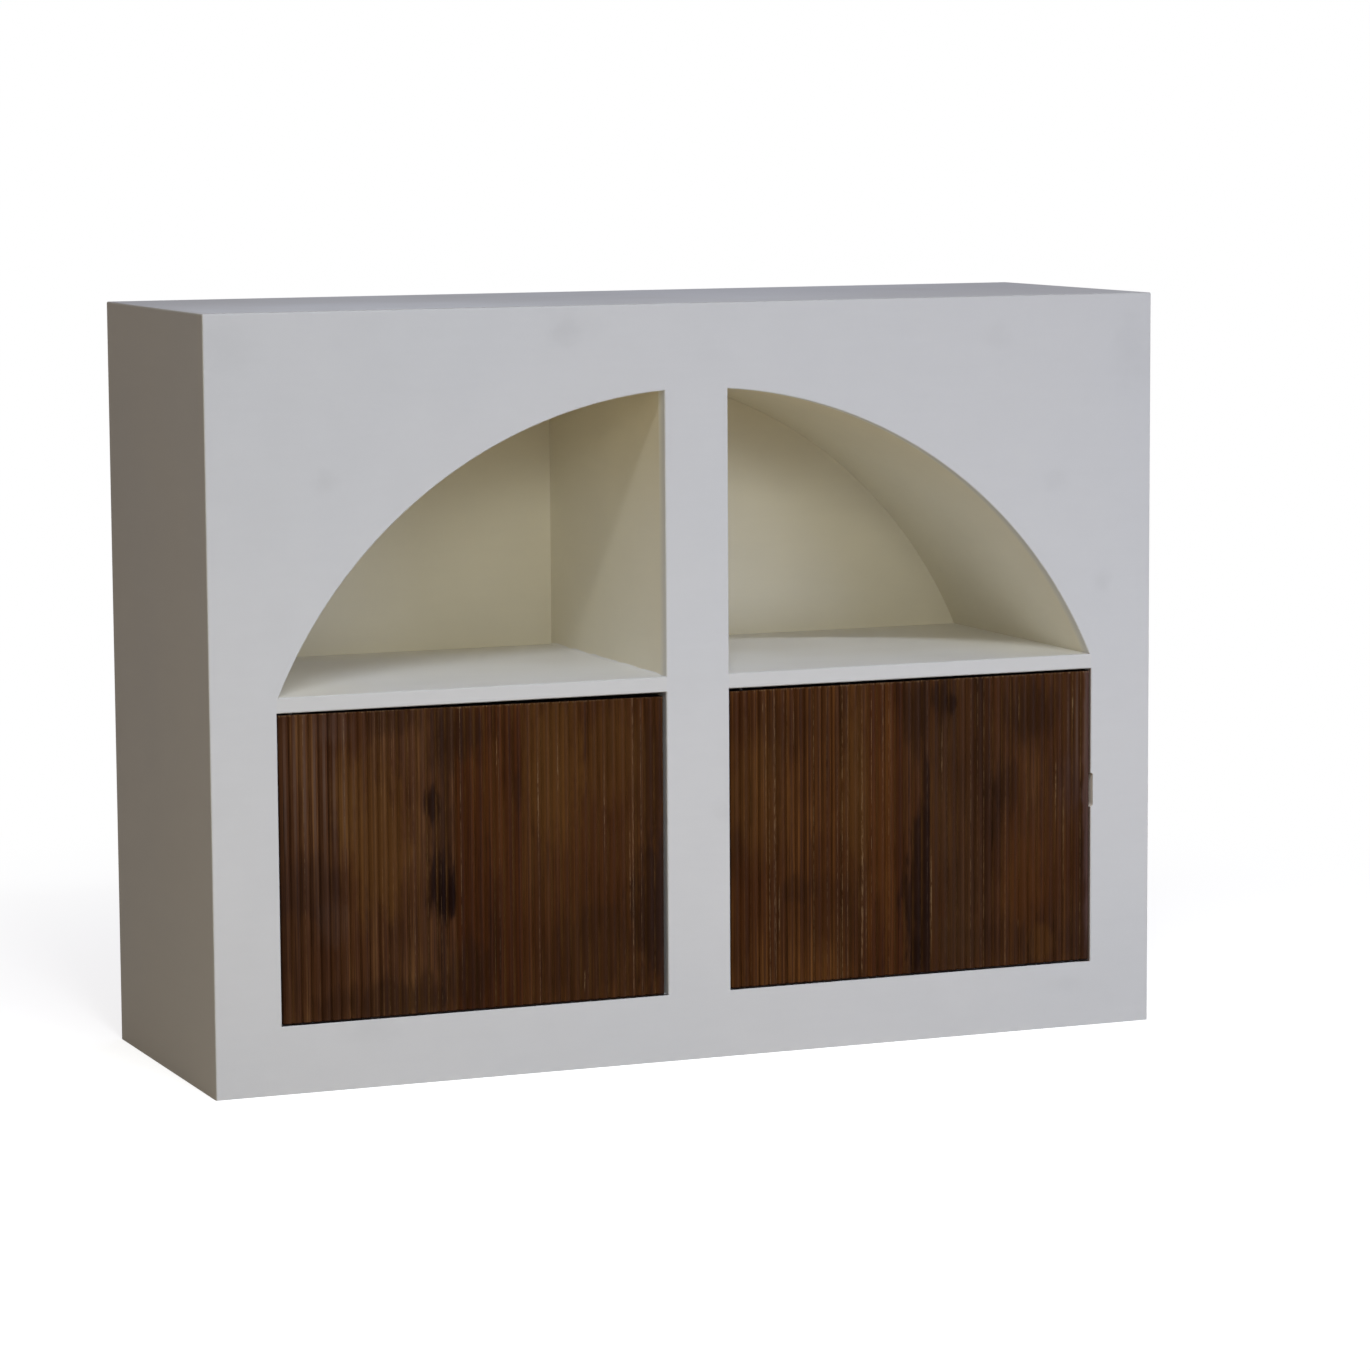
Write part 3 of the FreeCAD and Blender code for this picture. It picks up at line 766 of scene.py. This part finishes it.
def batten_wood():
    material, tree, shader = new_material("batten_wood")
    grain = noise(tree, (4, 160, 240), detail=5, roughness=0.6)
    base = blend(tree, widened(tree, grain), batten_dark, batten_pale)
    rough = widened(tree, grain, 0.6, 0.48)
    normal = bump(tree, grain, 0.2 * mm)
    join(tree, shader, {"Base Color": base, "Roughness": rough, "Normal": normal})
    return material


# Metal and plastic

metals = {
    # dark tone, light tone, roughness, scale of the brushed lines
    "steel": ((0.52, 0.52, 0.52), (0.66, 0.66, 0.67), 0.34, (60, 60, 1200)),
    "dark_steel": ((0.030, 0.028, 0.027), (0.060, 0.056, 0.052), 0.42, (60, 60, 1200)),
    "brass": ((0.58, 0.43, 0.20), (0.72, 0.56, 0.30), 0.32, (60, 60, 900)),
    "catch_steel": ((0.40, 0.40, 0.41), (0.52, 0.52, 0.52), 0.42, (90, 90, 900)),
}
catch_white = (0.66, 0.66, 0.63)
catch_shade = 0.9


def metal(name):
    dark, light, roughness, scale = metals[name]
    material, tree, shader = new_material(name)
    lines = noise(tree, scale, detail=4)
    cloud = noise(tree, 90, (5, 5, 5), detail=2)
    base = blend(tree, widened(tree, cloud), dark, light)
    rough = widened(tree, lines, roughness - 0.06, roughness + 0.1)
    normal = bump(tree, lines, 0.02 * mm)
    join(tree, shader, {"Base Color": base, "Roughness": rough, "Normal": normal, "Metallic": 1.0})
    return material


def plastic(name, colour):
    material, tree, shader = new_material(name)
    grain = noise(tree, 900, detail=2)
    cloud = noise(tree, 40, detail=2)
    base = blend(tree, widened(tree, cloud), colour, tuple(part * catch_shade for part in colour))
    rough = widened(tree, grain, 0.42, 0.52)
    normal = bump(tree, grain, 0.03 * mm)
    join(tree, shader, {"Base Color": base, "Roughness": rough, "Normal": normal})
    return material


def make_materials():
    return {
        "front_paint": front_paint(),
        "case_paint": case_paint(),
        "top_paint": top_paint(),
        "shelf_paint": shelf_paint(),
        "niche_paint": niche_paint(),
        "cupboard_paint": cupboard_paint(),
        "raw_board": raw_board(),
        "batten_wood": batten_wood(),
        "steel": metal("steel"),
        "dark_steel": metal("dark_steel"),
        "brass_socket": metal("brass"),
        "catch_plastic": plastic("catch_plastic", catch_white),
        "catch_steel": metal("catch_steel"),
    }


def paint_nodes(made):
    slots = {part["node"]: part["material_slot"] for part in frame["record"]["subparts"]}
    slots["top_panel"] = "top_paint"
    slots["door_left_pivot_pins"] = "dark_steel"
    slots["door_right_pivot_pins"] = "dark_steel"
    for name, node in nodes.items():
        if slots[name] in made:
            node.material_slots[0].material = made[slots[name]]


# Small pieces that the solids leave out: screws and the filler along one joint

head_sides = 28
head_rings = (0.10, 0.22, 0.34, 0.46, 0.58, 0.72, 0.88, 1.0)
head_fall = 0.35
skirt_depth = 0.1 * mm
recess_reach = 0.56
recess_depth = 0.45
recess_hub = 0.12
recess_arm = 0.86
screw_turn_deg = 37


def screw_head(place, outward, radius, height, spin_deg):
    # points and faces of one head with a cross recess, its underside on the surface that it holds
    outward = Vector(outward)
    side = outward.orthogonal().normalized()
    turn = outward.cross(side)
    points = []
    for ring in head_rings:
        crown = height * (1 - head_fall * ring ** 2) if ring < 1 else -skirt_depth
        for step in range(head_sides):
            angle = 2 * math.pi * step / head_sides
            arm = abs(math.cos(2 * angle))
            sunk = ring < recess_reach and (arm > recess_arm or ring < recess_hub)
            rise = crown - recess_depth * radius if sunk else crown
            spun = angle + math.radians(spin_deg)
            flat = side * math.cos(spun) + turn * math.sin(spun)
            points.append(Vector(place) + flat * (ring * radius) + outward * rise)
    faces = []
    for ring in range(len(head_rings) - 1):
        for step in range(head_sides):
            a = ring * head_sides + step
            b = ring * head_sides + (step + 1) % head_sides
            faces.append((a, b, b + head_sides, a + head_sides))
    points.append(Vector(place) + outward * (height - recess_depth * radius))
    centre = len(points) - 1
    faces += [(centre, (step + 1) % head_sides, step) for step in range(head_sides)]
    return points, faces


def add_piece(name, points, faces, body, material):
    mesh = bpy.data.meshes.new(name)
    mesh.from_pydata([tuple(point) for point in points], [], faces)
    shape = bmesh.new()
    shape.from_mesh(mesh)
    bmesh.ops.recalc_face_normals(shape, faces=shape.faces)
    shape.to_mesh(mesh)
    shape.free()
    mesh.materials.append(material)
    piece = bpy.data.objects.new(name, mesh)
    bpy.context.scene.collection.objects.link(piece)
    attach(piece, body)


def add_screws(name, places, outward, radius, height, body, slot, material):
    points = []
    faces = []
    for number, place in enumerate(places):
        head, skin = screw_head(place, outward, radius, height, screw_turn_deg * number)
        faces += [tuple(index + len(points) for index in face) for face in skin]
        points += head
    add_piece(name, points, faces, body, material)


def spread(low, high, count):
    return [low + (high - low) * number / (count - 1) for number in range(count)]


catch_flange = 3 * mm
catch_flange_middle = 4.5 * mm
pan_head = (3.0 * mm, 1.6 * mm)
flush_head = (3.3 * mm, 0.3 * mm)
strike_head = (2.9 * mm, 0.2 * mm)
batten_screw_inset = 26 * mm
batten_screws = 5
batten_stagger = 8 * mm
back_screw_inset = 26 * mm
back_screws = 8
core_screw_levels = (0.20, 0.33, 0.56, 0.68, 0.79)
rib_screw_levels = (0.54, 0.65, 0.76)
rib_screw_drop = 14 * mm


def catch_screws(side, made):
    low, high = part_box(f"catch_case_{side}")
    middle = (low.y + high.y) / 2
    levels = (low.z + catch_flange_middle, high.z - catch_flange_middle)
    places = [(high.x - catch_flange, middle, level) for level in levels]
    add_screws(f"catch_screws_{side}", places, (-1, 0, 0), *pan_head, "case", "steel", made["steel"])
    low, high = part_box(f"door_{side}_strike_plate")
    places = [((low.x + high.x) / 2, high.y, (low.z + high.z) / 2)]
    name = f"strike_screw_{side}"
    add_screws(name, places, (0, 1, 0), *strike_head, f"door_{side}", "steel", made["steel"])


def batten_screw_rows(side, made):
    places = []
    for end in ("bottom", "top"):
        low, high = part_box(f"door_{side}_batten_{end}")
        level = (low.z + high.z) / 2
        row = spread(low.x + batten_screw_inset, high.x - batten_screw_inset, batten_screws)
        for number, x in enumerate(row):
            places.append((x, high.y, level + (batten_stagger if number % 2 else -batten_stagger)))
    name = f"batten_screws_{side}"
    add_screws(name, places, (0, 1, 0), *flush_head, f"door_{side}", "steel", made["steel"])


def back_screw_rows(made):
    # through the back into the shelves, the floor, the core batten and the ribs
    low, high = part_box("back_panel")
    row = spread(low.x + back_screw_inset, high.x - back_screw_inset, back_screws)
    levels = []
    for node in ("cupboard_floor", "shelf_left"):
        bottom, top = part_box(node)
        levels.append((bottom.z + top.z) / 2)
    levels.append(high.z - rib_screw_drop)
    places = [(x, high.y, level) for level in levels for x in row]
    places += [(0, high.y, level) for level in core_screw_levels]
    places += [(x, high.y, level) for x in (row[0], row[-1]) for level in rib_screw_levels]
    add_screws("back_screws", places, (0, 1, 0), *pan_head, "case", "steel", made["steel"])


bead_stations = 90
bead_corners = 4
bead_width = 2.6 * mm
bead_height = 2.0 * mm


def uneven(size, change, y, waves, seed):
    # a size that wanders along Y by a share of itself
    return size * (1 + change * bead_noise.noise(Vector((y * waves, *seed))))


def filler_bead(material):
    # an uneven line of filler where the left shelf meets the divider
    low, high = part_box("divider_panel_left")
    corner = Vector((low.x, 0, niche_bottom))
    points = []
    for y in spread(low.y, high.y, bead_stations):
        wide = uneven(bead_width, 0.7, y, 30, (0.3, 0.7))
        tall = uneven(bead_height, 0.8, y, 47, (2.1, 0.2))
        base = corner + Vector((0, y, 0))
        points += [base, base + Vector((-wide, 0, 0)), base + Vector((-0.45 * wide, 0, 0.35 * tall)),
                   base + Vector((0, 0, tall))]
    faces = []
    for station in range(bead_stations - 1):
        for side in range(bead_corners):
            a = station * bead_corners + side
            b = station * bead_corners + (side + 1) % bead_corners
            faces.append((a, b, b + bead_corners, a + bead_corners))
    last = bead_corners * (bead_stations - 1)
    faces += [(0, 1, 2, 3), (last + 3, last + 2, last + 1, last)]
    add_piece("filler_bead", points, faces, "case", material)


def add_small_pieces(made):
    for side in ("left", "right"):
        catch_screws(side, made)
        batten_screw_rows(side, made)
    back_screw_rows(made)
    filler_bead(made["shelf_paint"])


# Floor and backdrop

floor_half = 30.0
shadow_reach = 1.9
plain_white = (1, 1, 1)
floor_grey = (0.80, 0.80, 0.80)
floor_glow = 0.70
floor_bounce = (0.60, 0.53, 0.41)


def floor_material():
    # it keeps the object's shadow near the object, and is plain white further out, to the camera
    material, tree = new_material("floor")[:2]
    tree.nodes.clear()
    surface = add(tree, "ShaderNodeBsdfDiffuse", {"Color": as_colour(floor_grey)}).outputs[0]
    lift = {"Color": as_colour(plain_white), "Strength": floor_glow}
    lift = add(tree, "ShaderNodeEmission", lift).outputs[0]
    near = add(tree, "ShaderNodeAddShader", {0: surface, 1: lift}).outputs[0]
    far = add(tree, "ShaderNodeEmission", {"Color": as_colour(plain_white), "Strength": 1.0}).outputs[0]
    distance = add(tree, "ShaderNodeVectorMath", {0: place_of(tree)}, operation="LENGTH").outputs["Value"]
    share = between(tree, distance, 0.4 * shadow_reach, shadow_reach)
    seen = add(tree, "ShaderNodeMixShader", {0: share, 1: near, 2: far}).outputs[0]
    bounce = add(tree, "ShaderNodeBsdfDiffuse", {"Color": as_colour(floor_bounce)}).outputs[0]
    path = add(tree, "ShaderNodeLightPath")
    clear = calc(tree, "MAXIMUM", path.outputs["Is Camera Ray"], path.outputs["Is Transmission Ray"])
    mixed = add(tree, "ShaderNodeMixShader", {0: clear, 1: bounce, 2: seen}).outputs[0]
    add(tree, "ShaderNodeOutputMaterial", {"Surface": mixed})
    return material


def make_floor():
    mesh = bpy.data.meshes.new("floor")
    corners = [(-floor_half, -floor_half, 0), (floor_half, -floor_half, 0),
               (floor_half, floor_half, 0), (-floor_half, floor_half, 0)]
    mesh.from_pydata(corners, [], [(0, 1, 2, 3)])
    mesh.materials.append(floor_material())
    floor = bpy.data.objects.new("floor", mesh)
    bpy.context.scene.collection.objects.link(floor)


# the room is brightest to the right of the object, and darkest in front of it
room_dark = (0.012, 0.012, 0.012)
room_right = (0.62, 0.64, 0.78)
room_left = (0.36, 0.325, 0.31)
room_back = (0.20, 0.19, 0.19)


def make_world():
    world = bpy.data.worlds.new("world")
    bpy.context.scene.world = world
    world.use_nodes = True
    tree = world.node_tree
    towards = add(tree, "ShaderNodeTexCoord").outputs["Generated"]
    facing = add(tree, "ShaderNodeSeparateXYZ", {0: towards}).outputs
    room = blend(tree, between(tree, facing["Y"], 0.0, 1.0), room_dark, room_back)
    room = blend(tree, between(tree, facing["X"], 0.0, 1.0), room, room_right)
    room = blend(tree, between(tree, facing["X"], 0.0, -1.0), room, room_left)
    ambient = tree.nodes["Background"]
    tree.links.new(room, ambient.inputs["Color"])
    plain = add(tree, "ShaderNodeBackground", {"Color": as_colour(plain_white)}).outputs[0]
    path = add(tree, "ShaderNodeLightPath")
    inputs = {0: path.outputs["Is Camera Ray"], 1: ambient.outputs[0], 2: plain}
    mixed = add(tree, "ShaderNodeMixShader", inputs).outputs[0]
    tree.links.new(mixed, tree.nodes["World Output"].inputs["Surface"])


make_camera()
for light in lights:
    make_light(*light)
materials = make_materials()
paint_nodes(materials)
door_woods()
add_small_pieces(materials)
make_floor()
make_world()

bpy.context.scene.view_settings.view_transform = "Standard"
